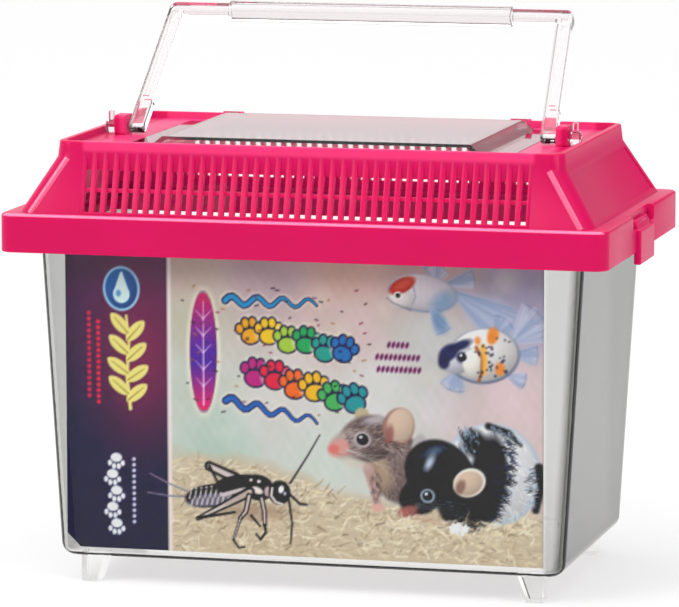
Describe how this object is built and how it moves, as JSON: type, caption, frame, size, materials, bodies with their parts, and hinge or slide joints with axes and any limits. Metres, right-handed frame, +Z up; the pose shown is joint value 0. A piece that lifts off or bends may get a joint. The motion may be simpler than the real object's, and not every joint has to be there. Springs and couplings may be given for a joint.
{
  "type": "small pet carrier",
  "caption": "Small clear plastic pet and insect carrier: tapered tank on feet, pink vented lid, raised clear feeding door and swinging bail handle.",
  "frame": {"origin": "on the surface that the feet stand on, under the middle of the carrier", "axes": "+X along the length, -Y the front with the printed card, +Z up"},
  "size_m": [0.1836, 0.1098, 0.1665],
  "materials": {
    "clear_tank": "clear polished polystyrene",
    "clear_trim": "clear moulded polystyrene",
    "pink_lid": "magenta-pink moulded plastic with a fine satin grain",
    "printed_card": "printed card"
  },
  "bodies": {
    "tank": {"tank": "clear_tank", "label_card": "printed_card"},
    "lid": {"lid_shell": "pink_lid", "vent_grille_front": "pink_lid", "vent_grille_back": "pink_lid"},
    "latch_left": {"latch_left": "pink_lid"},
    "latch_right": {"latch_right": "pink_lid"},
    "door": {"feeding_door": "clear_trim"},
    "handle": {"handle": "clear_trim"}
  },
  "joints": [
    {"name": "lid_lift", "type": "slide", "parent": "tank", "child": "lid", "axis": [0, 0, 1], "range_m": [0, 0.06]},
    {"name": "latch_left_flex", "type": "hinge", "parent": "lid", "child": "latch_left", "pos_m": [-0.0897, 0, 0.1072], "axis": [0, 1, 0], "range_deg": [0, 12], "stiffness_Nm_per_rad": 0.05},
    {"name": "latch_right_flex", "type": "hinge", "parent": "lid", "child": "latch_right", "pos_m": [0.0897, 0, 0.1072], "axis": [0, -1, 0], "range_deg": [0, 12], "stiffness_Nm_per_rad": 0.05},
    {"name": "door_hinge", "type": "hinge", "parent": "lid", "child": "door", "pos_m": [0, 0.0393, 0.1306], "axis": [-1, 0, 0], "range_deg": [0, 65]},
    {"name": "handle_swing", "type": "hinge", "parent": "lid", "child": "handle", "pos_m": [0, -0.004, 0.1313], "axis": [1, 0, 0], "range_deg": [-38, 104]}
  ]
}
